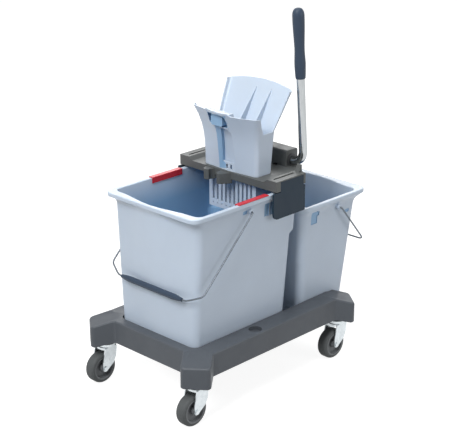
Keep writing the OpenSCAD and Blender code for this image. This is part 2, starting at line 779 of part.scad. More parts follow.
module small_bucket() {
    base_x0 = small_x0 + small_base_x;
    color(blue_grey) difference() {
        union() {
            translate([0, 0, tray_z])
                bucket_shell([base_x0, base_x0 + small_base_l, small_x0, small_x1], small_rim_half, small_h,
                    small_bow, small_h / 2, 0, small_rim_x1);
            bail_ear(small_pivot, small_pivot_z, small_rim_half, small_h);
        }
        bail_holes(small_pivot, small_pivot_z);
        wall_mark(small_pivot - 84, small_pivot_z - 9, 22, 32, small_rim_half, small_h);
        wall_mark(small_pivot - 70, small_pivot_z - 1, 6.5, 10, small_rim_half, small_h);
        wall_mark(small_pivot + 38, small_pivot_z - 21, 16, 8, small_rim_half, small_h);
    }
}

// Bail in the plane through its pivots: legs along +X, then corners, each given as [x, y, bend radius]
module bail_wire(corners) {
    hook_r = bail_y - ear_y - 0.2;
    side = concat([[0, ear_y - ear_depth + 0.5, 0], [0, bail_y, hook_r]], corners);
    path = concat(side, [for (p = flipped(side)) [p.x, -p.y, p.z]]);
    bent_wire([for (p = path) flat(p)], [for (p = path) p.z], wire_d / 2);
}

module bail_grip(length, grip_l) {
    half = grip_l / 2;
    r = bail_grip_d / 2;
    bore = wire_d / 2 + press_gap;
    tip_r = wire_d / 2 + 2;
    translate([length, 0, 0]) rotate([-90, 0, 0]) rotate_extrude()
        polygon([
            [bore, -half], [tip_r, -half], [r - 1, -half + 14], [r, -half + 26], [r, half - 26],
            [r - 1, half - 14], [tip_r, half], [bore, half]
        ]);
}

module at_large_bail() {
    translate([large_pivot, 0, large_pivot_z]) rotate([0, 180 - large_bail_angle, 0]) children();
}

module at_small_bail() {
    translate([small_pivot, 0, small_pivot_z]) rotate([0, small_bail_angle, 0]) children();
}

module large_bail() {
    color(chrome) at_large_bail() bail_wire([
        [large_bail_r - large_shoulder, bail_y, bail_bend_r],
        [large_bail_r, large_grip_l / 2 + 12, 2 * bail_bend_r]
    ]);
}

module large_bail_grip() {
    color(grip_grey) at_large_bail() bail_grip(large_bail_r, large_grip_l);
}

module small_bail() {
    color(chrome) at_small_bail() bail_wire([[small_bail_r, bail_y, bail_bend_r]]);
}

module small_bail_grip() {
    color(grip_grey) at_small_bail() bail_grip(small_bail_r, small_grip_l);
}

// Colour clip that hooks over the long rim of the large bucket
module colour_clip(side) {
    inner = large_rim_half - bucket_wall - 1;
    outer = large_rim_half + rim_side;
    t = 2;
    leg = 13;
    x1 = large_x1 - clip_x;
    color(clip_red) mirror([0, side, 0])
        translate([x1 - clip_l, 0, large_rim_z]) rotate([90, 0, 90]) linear_extrude(clip_l)
            polygon([
                [-inner, 0], [-inner, -leg], [-inner + t, -leg], [-inner + t, t], [-outer, t], [-outer, 0]
            ]);
}

// Press frame

clip_mid = [frame_x0 - 11, 30];
strip_w = 30;
strip_step = 11;
hollow_half = frame_half - strip_w - strip_step - 4;

module frame_plan() {
    polygon(rounded([
        [frame_x0, -frame_half, 3], [frame_x1, -frame_half, 4], [housing_x1, -housing_half + 2, 6],
        [housing_x1, housing_half - 2, 6], [frame_x1, frame_half, 4], [frame_x0, frame_half, 3]
    ]));
}

// Raised strip along one side, with its sloping inner step
module side_strip() {
    inner = -frame_half + strip_w;
    translate([frame_x0, 0, 0]) rotate([90, 0, 90]) linear_extrude(frame_side_l)
        polygon([
            [-frame_half, frame_z], [-frame_half, deck_z + strip_h], [inner, deck_z + strip_h],
            [inner + strip_step, deck_z - 0.5], [inner + strip_step, frame_z]
        ]);
}

// Open clip on the front edge that holds a mop handle
module mop_clip() {
    top = deck_z - 2;
    low = frame_z - 10;
    x = frame_x0;
    y = clip_mid.y;
    translate([0, 0, low]) linear_extrude(top - low) difference() {
        union() {
            polygon(rounded([
                [x + 6, y + 36, 3], [x - 14, y + 33, 5], [x - 20, y + 25, 4], [x - 17, y + 14, 2],
                [x + 6, y + 8, 1]
            ]));
            polygon(rounded([
                [x + 6, y - 8, 1], [x - 19, y - 14, 2], [x - 25, y - 22, 4], [x - 24, y - 28, 3],
                [x + 6, y - 48, 4]
            ]));
        }
        translate(clip_mid) circle(r = mop_d / 2);
    }
}

module housing() {
    translate([housing_x0, housing_half, frame_z]) rotate([90, 0, 0]) linear_extrude(2 * housing_half)
        polygon(rounded([
            [0, 0, 1], [housing_l, 0, 1], [housing_l, deck_z - frame_z + housing_h, 5],
            [2, deck_z - frame_z + housing_h, 5]
        ]));
}

// Small upright lug at the rear end of each side strip
module frame_lug(side) {
    mirror([0, side, 0]) translate([frame_x1 - 3, -frame_half + 24, deck_z]) rotate([90, 0, 0])
        linear_extrude(12) polygon([[-10, 0], [3, 0], [3, strip_h + 17], [0, strip_h + 17]]);
}

// Rails under the deck that carry the pusher's edges
module pusher_rails() {
    x0 = large_x1 - 6;
    length = housing_x0 - x0 + 20;
    lip = 6;
    wall = 6;
    low = pusher_z - seat_gap - 2.6;
    for (side = [0, 1]) mirror([0, side, 0]) {
        translate([x0, -pusher_half - seat_gap - wall, low]) cube([length, wall, deck_z - 1 - low]);
        translate([x0, -pusher_half - seat_gap - 1, low]) cube([length, lip + 1, 2.6]);
    }
}

module press_frame() {
    inner_z = deck_z - deck_t;
    hollow_x1 = housing_x1 - housing_wall;
    open_half = sieve_half + 2;
    slot_y = large_rim_half - 2.5;
    open_x0 = sieve_x0 - 3;
    open_x1 = funnel_x0 + funnel_l + 2;
    rest_h = frame_z - large_rim_z - seat_gap;
    color(press_grey) difference() {
        union() {
            difference() {
                union() {
                    translate([0, 0, frame_z]) linear_extrude(frame_h) frame_plan();
                    for (side = [0, 1]) mirror([0, side, 0]) side_strip();
                    housing();
                    mop_clip();
                }
                translate([0, 0, frame_z - 1]) linear_extrude(inner_z - frame_z + 1) polygon([
                    [frame_x0 + 4, -hollow_half], [frame_x1 + 26, -hollow_half],
                    [hollow_x1, -housing_half + 3],
                    [hollow_x1, housing_half - 3], [frame_x1 + 26, hollow_half], [frame_x0 + 4, hollow_half]
                ]);
                translate([housing_x0 + housing_wall, -housing_half + 4, frame_z - 1])
                    cube([
                        housing_l - 2 * housing_wall, 2 * housing_half - 8,
                        housing_h + frame_h - housing_wall + 1
                    ]);
            }
            for (side = [0, 1]) frame_lug(side);
            for (side = [0, 1]) mirror([0, side, 0])
                translate([frame_x0 + 12, -large_rim_half - rim_side, large_rim_z + seat_gap])
                    cube([frame_side_l - 19, rim_side + 6, rest_h + 1]);
            pusher_rails();
        }
        translate([open_x0, -open_half, frame_z - 1]) cube([open_x1 - open_x0, 2 * open_half, frame_h + 2]);
        for (sy = [-1, 1])
            translate([frame_x0 + 12, sy * slot_y - slot_w / 2, large_rim_z - 1])
                cube([slot_l, slot_w, frame_h + strip_h + 20]);
        for (side = [0, 1]) mirror([0, side, 0]) {
            translate([frame_x0 + 14.5, -frame_half - 1, frame_z - 1])
                cube([frame_side_l - 21, plate_t + 1, frame_h + strip_h - 2 + seat_gap]);
            for (x = [30, 78])
                along_y(frame_x0 + x, deck_z - 8, -frame_half, -frame_half + plate_t + 9, 3 + press_gap);
            translate([housing_x0 - 6, crank_y - crank_t / 2 - 2, deck_z - deck_t - 1])
                cube([12, crank_t + 4, deck_t + 4]);
            translate([housing_x0 + housing_wall - pin_relief, crank_y, deck_z - deck_t - 1])
                cube([pin_relief + 1, yoke_y1 + 2 - crank_y, pin_relief + 1]);
        }
        along_y(shaft_axis_x, shaft_axis_z, -housing_half - 1, -housing_half + 6, bush_r);
        along_y(shaft_axis_x, shaft_axis_z, housing_half - 6, housing_half + 1, bush_r);
    }
}

// Side plate that hangs outside the bucket and holds the press in place
module side_plate(side) {
    upper = frame_x0 + 14.5 + seat_gap;
    upper1 = frame_x0 + frame_side_l - 6.5 - seat_gap;
    lower = frame_x0 - 8;
    lower1 = frame_x1 - 1;
    step_z = frame_z - 2;
    top = deck_z + strip_h - 3;
    low = large_rim_z - plate_drop;
    color(plate_grey) mirror([0, side, 0]) {
        translate([0, -frame_half + plate_t, 0]) rotate([90, 0, 0]) linear_extrude(plate_t)
            polygon(rounded([
                [lower, low, 13], [lower1, low, 3], [lower1, step_z, 3], [upper1, step_z, 1],
                [upper1, top, 2],
                [upper, top, 2], [upper, step_z, 1], [lower, step_z, 3]
            ]));
        for (x = [30, 78])
            along_y(frame_x0 + x, deck_z - 8, -frame_half + plate_t, -frame_half + plate_t + 8, 3);
    }
}

// Sieve that hangs in the frame and holds the mop while it is pressed
module sieve() {
    x1 = sieve_x0 + sieve_l;
    low = deck_z - sieve_depth;
    lip = 2;
    front_x1 = funnel_x0 + funnel_l;
    pitch = (2 * sieve_half - 8) / (sieve_slots + 0.5);
    color(blue_grey) difference() {
        union() {
            translate([sieve_x0, -sieve_half, low]) cube([sieve_l, 2 * sieve_half, sieve_depth + lip]);
            translate([0, 0, deck_z]) linear_extrude(lip)
                polygon([for (p = funnel_ring(0, 0.5)) [-p.x, p.y]]);
        }
        translate([sieve_x0 + sieve_wall + 1, -sieve_half + sieve_wall, low + sieve_wall])
            cube([sieve_l - 2 * sieve_wall - 1, 2 * (sieve_half - sieve_wall), sieve_depth + 10]);
        translate([front_x1, -funnel_half - 1, deck_z - deck_t - 0.4])
            cube([sieve_l, 2 * funnel_half + 2, 20]);
        translate([x1 - sieve_wall - 1, -sieve_half - 1, large_rim_z + 1])
            cube([sieve_wall + 2, 2 * sieve_half + 2, 60]);
        for (i = [0:sieve_slots - 1])
            translate([sieve_x0 - 1, (i - (sieve_slots - 1) / 2) * pitch - sieve_slot_w / 2, low + 18])
                cube([sieve_wall + 3, sieve_slot_w, sieve_depth - 42]);
        for (i = [0:sieve_slots - 1], j = [0:2])
            translate([sieve_x0 + 16 + 20 * j, (i - (sieve_slots - 1) / 2) * pitch, low - 1])
                cylinder(h = sieve_wall + 2, r = 3);
        for (i = [0:sieve_slots - 1])
            along_x(
                (i - (sieve_slots - 1) / 2) * pitch, low + 10, sieve_x0 - 1, sieve_x0 + sieve_wall + 2, 2);
    }
}

// Funnel with its slotted front wall and tall back plate

funnel_z = deck_z + 2;
slot_mid = 2;
slot_far = slot_mid + funnel_slot;
slot_near = slot_mid - funnel_slot;
window_l = 48;
window_r = -19;
window_low = funnel_front_h - 33;
window_top = funnel_front_h - 4;
funnel_top = funnel_back_h + funnel_arch + 2;
knee_x = 8;
knee_y = 2;
back_flare = 14;

// Bow of the front wall, and the place of its outer face at a share of the bow
function funnel_bow(h) = 5 + 15 * h / funnel_front_h;
function front_x(h, share) = funnel_x0 - funnel_flare_x * pow(h / funnel_front_h, 3) - funnel_bow(h) * share;
function front_half(h) = funnel_half + funnel_flare_y * pow(min(1, h / funnel_front_h), 3);
function bow_share(h, y) = pow(cos(90 * y / (front_half(h) - 12)), 2);

// Place and half width of the back plate, which has a knee at the height of the side walls
function above_knee(h) = max(0, h - funnel_side_h) / (funnel_back_h - funnel_side_h);
function below_knee(h) = min(1, h / funnel_side_h);
function back_x(h) =
    funnel_x0 + funnel_l + knee_x * below_knee(h) + (funnel_lean - knee_x) * above_knee(h);
function back_half(h) = funnel_half + knee_y * below_knee(h) + (back_flare - knee_y) * above_knee(h);

function funnel_ring(h, d) =
    at_z(bowed(
        -back_x(h) + d, -front_x(min(h, funnel_front_h), 0) - d, front_half(h) - d,
        9 - d, 12 - d, funnel_bow(h), back_half(h) - d), h);

module funnel_shell() {
    rings = concat(
        [for (k = [0, 0.3, 0.6, 0.8, 1]) k * funnel_side_h],
        [for (k = [0.5, 1]) funnel_side_h + k * (funnel_front_h - funnel_side_h)],
        [for (k = [0.4, 0.7, 1]) funnel_front_h + k * (funnel_top - funnel_front_h)]);
    mirror([1, 0, 0]) ring_loft(concat(
        [for (h = rings) funnel_ring(h, 0)],
        [for (h = flipped(rings)) funnel_ring(h, funnel_wall)]));
}

// Extrudes an outline in (y, z) along X
module across_x(x0, x1) {
    translate([x0, 0, 0]) rotate([90, 0, 90]) linear_extrude(x1 - x0) children();
}

// Extrudes an outline in (x, z) along Y
module across_y(y0, y1) {
    translate([0, y1, 0]) rotate([90, 0, 0]) linear_extrude(y1 - y0) children();
}

module funnel_cuts() {
    wide = funnel_half + funnel_flare_y + 20;
    front_h = funnel_front_h;
    side_h = funnel_side_h;
    arch_half = funnel_half + funnel_flare_y - 5;
    arch_r = (arch_half * arch_half + funnel_arch * funnel_arch) / (2 * funnel_arch);
    top = funnel_top + 20;
    across_y(-wide, wide) polygon([
        [funnel_x0 + 17, side_h], [funnel_x0 - 3, front_h - 9], [funnel_x0 - 12, front_h + 14],
        [funnel_x0 - 12, top], [back_x(funnel_back_h) - 14, top],
        [back_x(funnel_back_h) - 14, funnel_back_h - 2], [back_x(side_h) - 11, side_h]
    ]);
    across_x(funnel_x0 - 80, funnel_x0 + 10) polygon([
        [-wide, front_h + 3], [-wide + 24, front_h], [-60, front_h - 3], [-34, front_h - 2],
        [-25, front_h + 4],
        [47, front_h + 4], [54, front_h], [70, front_h - 1], [wide - 24, front_h + 1], [wide, front_h + 6],
        [wide, top], [-wide, top]
    ]);
    across_x(funnel_x0, funnel_x0 + 200) difference() {
        translate([-wide, funnel_back_h]) square([2 * wide, top]);
        translate([0, funnel_back_h + funnel_arch - arch_r]) circle(r = arch_r, $fn = 200);
    }
    across_x(funnel_x0 - 80, funnel_x0 + 12) {
        polygon([
            [slot_near, -1], [slot_far, -1], [slot_far, window_low + 6], [slot_near + 18, window_low + 6],
            [slot_near + 14, window_low - 4], [slot_near, window_low - 12]
        ]);
        polygon(rounded([
            [window_r, window_low, 5], [window_l, window_low, 5], [window_l - 3, window_top, 9],
            [window_r + 3, window_top, 9]
        ]));
    }
}

// Outline in (x, z) between two depths behind the front wall, over the given heights
function behind_front(levels, share, d0, d1) = concat(
    [for (h = levels) [front_x(h, share) + d0 + channel_deepening * d0 * h, h]],
    [for (h = flipped(levels)) [front_x(h, share) + d1 + channel_deepening * d1 * h, h]]);
channel_d = 9;
channel_deepening = 0.003;
channel_wall = 2.5;
channel_levels = [0, 30, 60, 85, window_low + 7];
pocket_d = 17;
pocket_levels = [window_low - 4, window_low + 14, window_top + 3];

// Closed channel behind the front slot
module funnel_channel() {
    across_y(slot_near - channel_wall, slot_far + 1.5)
        polygon(behind_front(channel_levels, 0.9, channel_d, channel_d + channel_wall));
    across_y(slot_near - channel_wall, slot_near)
        polygon(behind_front(channel_levels, 0.7, 0, channel_d + 1));
}

// Level shelf of the pocket behind the window, between the front wall and the pocket's back
module pocket_shelf(h) {
    rear = front_x(h, 0.9) + pocket_d + 4;
    y0 = window_r - 2;
    y1 = window_l + 2;
    steps = 9;
    translate([0, 0, h]) linear_extrude(channel_wall) polygon(concat(
        [for (i = [0:steps])
            let (y = y0 + (y1 - y0) * i / steps)
            [front_x(h, bow_share(h, y)) + 1.2, y]],
        [[rear, y1], [rear, y0]]));
}

// Closed pocket behind the window in the front wall
module funnel_pocket() {
    across_y(window_r - channel_wall, window_l + channel_wall)
        polygon(behind_front(pocket_levels, 0.9, pocket_d, pocket_d + channel_wall));
    across_y(window_r - channel_wall, window_r) polygon(behind_front(pocket_levels, 0.8, 0, pocket_d + 1));
    across_y(window_l, window_l + channel_wall) polygon(behind_front(pocket_levels, 0.33, 0, pocket_d - 9));
    pocket_shelf(window_low - 4);
    pocket_shelf(window_top + 0.5);
}

// Tongue in the channel with its rounded head in the window, and the sill at the slot's foot
module funnel_tongue() {
    head_w = 38;
    head_h = 28;
    head_t = 15;
    head_mid = 13;
    head_z = window_low + 1;
    head_x = front_x(head_z + head_h / 2, 0.88);
    foot_y = 18.5;
    neck_y = 9;
    sill_x = front_x(0, 1) + 1;
    intersection() {
        across_y(0, slot_far + 1.5) polygon(behind_front(channel_levels, 0.7, 0, channel_d + 1));
        across_x(-80, 80) polygon([
            [slot_far + 1.5, -1], [foot_y, -1], [neck_y, head_z + 8], [slot_far + 1.5, head_z + 8]
        ]);
    }
    across_x(head_x, head_x + head_t) polygon(rounded([
        [head_mid - head_w / 2, head_z, 6], [head_mid + head_w / 2, head_z, 6],
        [head_mid + head_w / 2 - 2, head_z + head_h, 9], [head_mid - head_w / 2 + 2, head_z + head_h, 9]
    ]));
    difference() {
        across_x(sill_x, sill_x + 3)
            translate([slot_near - 1, 0]) square([2 * funnel_slot + 2, 20]);
        for (y = [-12.5, 1.5]) translate([sill_x - 1, y, 3]) cube([5, 6.5, 11]);
    }
}

module funnel_fins() {
    base_h = funnel_side_h - 10;
    tip_h = funnel_back_h - 6;
    for (y = [-36, 11])
        across_y(y - 2, y + 2) polygon([
            [back_x(base_h) - 34, base_h], [back_x(base_h) - 1, base_h],
            [back_x(funnel_side_h) - 1, funnel_side_h], [back_x(tip_h) - 1, tip_h], [back_x(tip_h) - 4, tip_h]
        ]);
}

module funnel() {
    color(blue_grey) translate([0, 0, funnel_z]) {
        difference() {
            funnel_shell();
            funnel_cuts();
        }
        funnel_channel();
        funnel_pocket();
        funnel_tongue();
        funnel_fins();
    }
}

// Lever, shaft and cranks

bush_r = 13;
bush_l = 8;

module shaft_bush(side, bore_r) {
    color(bush_grey) mirror([0, side, 0]) difference() {
        union() {
            along_y(shaft_axis_x, shaft_axis_z, -housing_half - 2, -housing_half - 2 + bush_l,
                bush_r - press_gap);
            along_y(shaft_axis_x, shaft_axis_z, -housing_half - 2, -housing_half, bush_r + 2);
        }
        along_y(shaft_axis_x, shaft_axis_z, -housing_half - 5, -housing_half + 10, bore_r);
    }
}

// Places a piece drawn with the lever in the YZ plane and its shaft on the Y axis
module at_lever() {
    translate([shaft_axis_x, 0, shaft_axis_z]) rotate([0, -lever_lean, 0]) children();
}

tube_end = housing_half - 14;
grip_cap = 6;

module lever_path(r, over) {
    points = [[-tube_end + over, 0], [-lever_y, 0], [-lever_y, lever_h - grip_cap + over]];
    rotate([90, 0, 90]) bent_rod(points, [0, lever_bend_r, 0], r);
}

module lever_tube() {
    color(chrome) difference() {
        at_lever() difference() {
            lever_path(lever_d / 2, 0);
            lever_path(lever_d / 2 - lever_t, 1);
        }
        lever_pin_bore();
    }
}

lever_pin_y = -tube_end - 5;
lever_pin_r = 2.5;

module lever_pin_bore() {
    translate([shaft_axis_x, lever_pin_y, shaft_axis_z - 30]) cylinder(h = 60, r = lever_pin_r + press_gap);
}

module lever_pin() {
    half = sqrt(pow(lever_d / 2, 2) - pow(lever_pin_r, 2)) - 0.1;
    color(zinc) translate([shaft_axis_x, lever_pin_y, shaft_axis_z - half])
        cylinder(h = 2 * half, r = lever_pin_r);
}

module hand_grip() {
    low = lever_h - hand_grip_l;
    bore = lever_d / 2 + press_gap;
    r0 = lever_d / 2 + 2.2;
    r1 = hand_grip_d / 2;
    dome = 8;
    color(grip_grey) at_lever() translate([0, -lever_y, 0]) rotate_extrude()
        polygon(concat(
            [[bore, low], [r0 - 1, low], [r0, low + 1.5], [r0 + 0.4, low + hand_grip_l / 2]],
            [[r1 - 0.4, lever_h - 45], [r1, lever_h - 28]],
            [for (a = [0:22.5:67.5]) [r1 - dome + dome * cos(a), lever_h - dome + dome * sin(a)]],
            [[0, lever_h], [0, lever_h - grip_cap], [bore, lever_h - grip_cap]]));
}

module drive_shaft() {
    plug_l = 20;
    end = housing_half + 8;
    color(zinc) difference() {
        union() {
            along_y(
                shaft_axis_x, shaft_axis_z, -tube_end - plug_l, -tube_end, lever_d / 2 - lever_t - press_gap);
            along_y(shaft_axis_x, shaft_axis_z, -tube_end, end, shaft_d / 2);
        }
        lever_pin_bore();
        crank_pin_bores();
    }
}

crank_hub_r = shaft_d / 2 + 5;
key_r = 2;

// Places a piece drawn with its crank arm straight down and the shaft on the Y axis
module at_crank() {
    translate([shaft_axis_x, 0, shaft_axis_z]) rotate([0, -crank_back, 0]) children();
}

module crank_pin_bores() {
    at_crank() for (sy = [-1, 1]) along_x(sy * crank_y, 0, -30, 30, key_r + press_gap);
}

module crank_pins() {
    half = crank_hub_r - 0.4;
    color(zinc) at_crank() for (sy = [-1, 1]) along_x(sy * crank_y, 0, -half, half, key_r);
}

module crank(side) {
    arm_half = 3.4;
    eye_r = arm_half + 1;
    y0 = -crank_y - crank_t / 2;
    y1 = -crank_y + crank_t / 2;
    color(zinc) mirror([0, side, 0]) at_crank() {
        difference() {
            union() {
                along_y(0, 0, y0, y1, crank_hub_r);
                translate([-arm_half, y0 + 0.5, -crank_r]) cube([2 * arm_half, crank_t - 1, crank_r]);
            }
            along_y(0, 0, y0 - 1, y1 + 1, shaft_d / 2 + press_gap);
            along_x(-crank_y, 0, -30, 30, key_r + press_gap);
        }
        along_y(0, -crank_r, y0, y1, eye_r);
        along_y(0, -crank_r, -yoke_y1, -crank_y, crank_pin_d / 2);
    }
}

module shaft_collar() {
    color(zinc) translate([shaft_axis_x, housing_half + 2 + seat_gap, shaft_axis_z]) rotate([-90, 0, 0])
        ring(shaft_d / 2 + press_gap, shaft_d / 2 + 4, 3);
}

// Pusher that slides under the deck, driven by the cranks, and the plate on its front end

plate_screw_y = [-36, 36];
plate_screw_z = [large_rim_z - 12, large_rim_z - 2];
screw_r = 2;

module pusher() {
    slot_half = crank_pin_d / 2 + yoke_play;
    yoke_half = slot_half + 2.6;
    rear = crank_pin_x + yoke_half;
    window_y0 = crank_y - crank_t / 2 - 1.5;
    color(dark_grey) difference() {
        union() {
            translate([press_x1, -pusher_half, pusher_z]) cube([rear - press_x1, 2 * pusher_half, pusher_t]);
            translate([press_x1, -pusher_half + 10, pusher_z - 20])
                cube([flange_t, 2 * pusher_half - 20, 20 + pusher_t]);
            for (side = [0, 1]) mirror([0, side, 0])
                translate([crank_pin_x - yoke_half, yoke_y0, pusher_z])
                    cube([2 * yoke_half, yoke_y1 - yoke_y0, yoke_top_z - pusher_z]);
        }
        for (side = [0, 1]) mirror([0, side, 0]) {
            translate([crank_pin_x - yoke_half - 30, window_y0, pusher_z - 1])
                cube([80, yoke_y0 - window_y0, pusher_t + 2]);
            translate([crank_pin_x - slot_half, yoke_y0 - 1, crank_pin_z - 7])
                cube([2 * slot_half, yoke_y1 - yoke_y0 + 2, 40]);
        }
        for (y = plate_screw_y, z = plate_screw_z)
            along_x(y, z, press_x1 - 1, press_x1 + flange_t + 1, screw_r + press_gap);
    }
}

module press_plate() {
    low = deck_z - sieve_depth + sieve_wall + 4;
    top = deck_z - deck_t - 4.5;
    half = sieve_half - sieve_wall - 2;
    x0 = press_x1 - press_t;
    rows = 5;
    color(blue_grey) difference() {
        translate([x0, -half, low]) cube([press_t, 2 * half, top - low]);
        for (i = [0:rows - 1])
            translate([x0 - 1, -half + 8, low + 8 + i * 10]) cube([4, 2 * half - 16, 5]);
        for (y = plate_screw_y, z = plate_screw_z)
            along_x(y, z, press_x1 - 5, press_x1 + 1, screw_r + press_gap);
    }
}

module press_plate_screws() {
    head_r = 4;
    head_t = 2.2;
    color(zinc) for (y = plate_screw_y, z = plate_screw_z) {
        along_x(y, z, press_x1 - 4.5, press_x1 + flange_t, screw_r);
        along_x(y, z, press_x1 + flange_t, press_x1 + flange_t + head_t, head_r);
    }
}

// Drawing, with the origin under the middle of the trolley

module placed() {
    translate([-origin_x, 0, 0]) children();
}

castor_names = ["front_near", "front_far", "rear_near", "rear_far"];
castor_signs = [[-1, -1], [-1, 1], [1, -1], [1, 1]];

placed() chassis();
for (i = [0:3]) {
    name = castor_names[i];
    sx = castor_signs[i][0];
    sy = castor_signs[i][1];
    placed() castor_head(sx, sy);
    placed() castor_fork(sx, sy);
    placed() castor_axle(sx, sy);
    placed() castor_hub(sx, sy);
    placed() castor_tyre(sx, sy);
}
placed() large_bucket();
placed() large_bail();
placed() large_bail_grip();
placed() colour_clip(0);  // colour_clip_near
placed() colour_clip(1);  // colour_clip_far
placed() small_bucket();
placed() small_bail();
placed() small_bail_grip();
placed() press_frame();
placed() side_plate(0);  // side_plate_near
placed() side_plate(1);  // side_plate_far
placed() sieve();
placed() funnel();
placed() shaft_bush(0, lever_d / 2 + run_fit);  // shaft_bush_near
placed() shaft_bush(1, shaft_d / 2 + run_fit);  // shaft_bush_far
placed() lever_tube();
placed() hand_grip();
placed() drive_shaft();
placed() lever_pin();
placed() crank(0);  // crank_near
placed() crank(1);  // crank_far
placed() crank_pins();
placed() shaft_collar();
placed() pusher();
placed() press_plate();
placed() press_plate_screws();
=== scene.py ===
"""Looks for a double mop bucket trolley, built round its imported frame. Lengths are in metres."""

import json
import math

import bmesh
import bpy
from mathutils import Matrix, Vector


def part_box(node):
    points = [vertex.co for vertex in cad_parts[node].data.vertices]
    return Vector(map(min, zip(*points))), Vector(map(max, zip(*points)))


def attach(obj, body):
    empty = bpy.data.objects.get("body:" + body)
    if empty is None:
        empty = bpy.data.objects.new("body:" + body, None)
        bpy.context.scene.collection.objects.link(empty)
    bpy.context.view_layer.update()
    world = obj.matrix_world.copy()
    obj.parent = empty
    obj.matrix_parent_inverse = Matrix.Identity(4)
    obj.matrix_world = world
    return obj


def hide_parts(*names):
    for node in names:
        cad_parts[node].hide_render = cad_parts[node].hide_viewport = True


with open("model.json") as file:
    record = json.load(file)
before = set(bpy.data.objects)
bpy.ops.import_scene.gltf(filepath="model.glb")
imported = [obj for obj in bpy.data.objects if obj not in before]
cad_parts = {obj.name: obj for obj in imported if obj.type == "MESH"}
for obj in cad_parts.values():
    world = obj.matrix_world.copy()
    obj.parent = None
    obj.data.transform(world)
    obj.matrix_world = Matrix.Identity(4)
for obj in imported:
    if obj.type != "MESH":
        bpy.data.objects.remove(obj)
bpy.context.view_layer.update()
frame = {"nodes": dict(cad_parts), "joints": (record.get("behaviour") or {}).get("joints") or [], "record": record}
nodes = frame["nodes"]
body_of = {
    node: body
    for body, members in frame["record"]["behaviour"]["bodies"].items()
    for node in members
}
slot_of = {subpart["node"]: subpart["material_slot"] for subpart in frame["record"]["subparts"]}
pivot_of = {joint["child"]: Vector(joint["pos_m"]) for joint in frame["joints"] if "pos_m" in joint}


# Materials

PALE_BLUE = (0.53, 0.615, 0.725)
# Painted shade: the darker, bluer colour painted inside the buckets, in recesses and on the funnel's tongue
SHADE_BLUE = (0.24, 0.42, 0.63)
CHASSIS_GREY = (0.080, 0.090, 0.104)
PRESS_GREY = (0.098, 0.104, 0.103)
TYRE_GREY = (0.088, 0.095, 0.098)
ZINC_DARK = (0.53, 0.57, 0.59)
ZINC_LIGHT = (0.60, 0.64, 0.66)
CHROME = (0.42, 0.44, 0.45)
WIRE = (0.135, 0.155, 0.180)

# Most of a noise texture lies between these levels
NOISE_LOW = 0.3
NOISE_HIGH = 0.7
# Mesh attribute that is 0 on pale plastic and grows where painted shade darkens it
SHADE_MARK = "inside"
# The mark at which the painted shade is full
FULL_SHADE = 0.6


def shade(colour, factor):
    return tuple(min(1.0, c * factor) for c in colour)


class Shader:
    """One material's node tree, with short calls for the nodes that the materials share."""

    def __init__(self, name):
        self.material = bpy.data.materials.new(name)
        self.material.use_nodes = True
        self.tree = self.material.node_tree
        self.bsdf = self.tree.nodes["Principled BSDF"]
        self.place = self.add("ShaderNodeTexCoord").outputs["Object"]

    def add(self, kind, **settings):
        node = self.tree.nodes.new(kind)
        for key, value in settings.items():
            setattr(node, key, value)
        return node

    def link(self, source, target):
        self.tree.links.new(source, target)

    def put(self, **values):
        """Sets inputs of the surface to plain values. An underscore in a name stands for a space."""
        for key, value in values.items():
            self.bsdf.inputs[key.replace("_", " ")].default_value = value

    def feed(self, **sources):
        """Links inputs of the surface, named as in put, to the outputs of other nodes."""
        for key, source in sources.items():
            self.link(source, self.bsdf.inputs[key.replace("_", " ")])

    def stretched(self, scale):
        """The object's coordinates with a scale along each axis."""
        mapping = self.add("ShaderNodeMapping")
        mapping.inputs["Scale"].default_value = scale
        self.link(self.place, mapping.inputs["Vector"])
        return mapping.outputs["Vector"]

    def noise(self, scale, detail=2.0, rough=0.5, vector=None):
        node = self.add("ShaderNodeTexNoise")
        node.inputs["Scale"].default_value = scale
        node.inputs["Detail"].default_value = detail
        node.inputs["Roughness"].default_value = rough
        self.link(vector or self.place, node.inputs["Vector"])
        return node.outputs["Fac"]

    def cloud(self):
        """Broad soft patches, for tones that vary over a hand's breadth."""
        return self.noise(scale=7.0, detail=4.0, rough=0.6)

    def ramp(self, source, dark, light, start=NOISE_LOW, end=NOISE_HIGH):
        """A colour that runs from dark to light while the source runs from start to end."""
        node = self.add("ShaderNodeValToRGB")
        for element, position, colour in zip(node.color_ramp.elements, (start, end), (dark, light)):
            element.position = position
            element.color = (*colour, 1.0)
        self.link(source, node.inputs["Fac"])
        return node.outputs["Color"]

    def drift(self, source, colour, share):
        """A colour that drifts darker and lighter by a share of itself."""
        return self.ramp(source, shade(colour, 1 - share), shade(colour, 1 + share))

    def spread(self, source, low, high, start=NOISE_LOW, end=NOISE_HIGH):
        """A value that runs from low to high while the source runs from start to end."""
        node = self.add("ShaderNodeMapRange")
        node.inputs["From Min"].default_value = start
        node.inputs["From Max"].default_value = end
        node.inputs["To Min"].default_value = low
        node.inputs["To Max"].default_value = high
        self.link(source, node.inputs["Value"])
        return node.outputs["Result"]

    def product(self, first, second):
        node = self.add("ShaderNodeMath", operation="MULTIPLY")
        self.link(first, node.inputs[0])
        self.link(second, node.inputs[1])
        return node.outputs[0]

    def mix(self, factor, first, second):
        node = self.add("ShaderNodeMix", data_type="RGBA")
        self.link(factor, node.inputs["Factor"])
        self.link(first, node.inputs["A"])
        self.link(second, node.inputs["B"])
        return node.outputs["Result"]

    def bump(self, height, strength, distance, under=None):
        """A normal for fine relief, on top of another normal where one is given."""
        node = self.add("ShaderNodeBump")
        node.inputs["Strength"].default_value = strength
        node.inputs["Distance"].default_value = distance
        self.link(height, node.inputs["Height"])
        if under:
            self.link(under, node.inputs["Normal"])
        return node.outputs["Normal"]


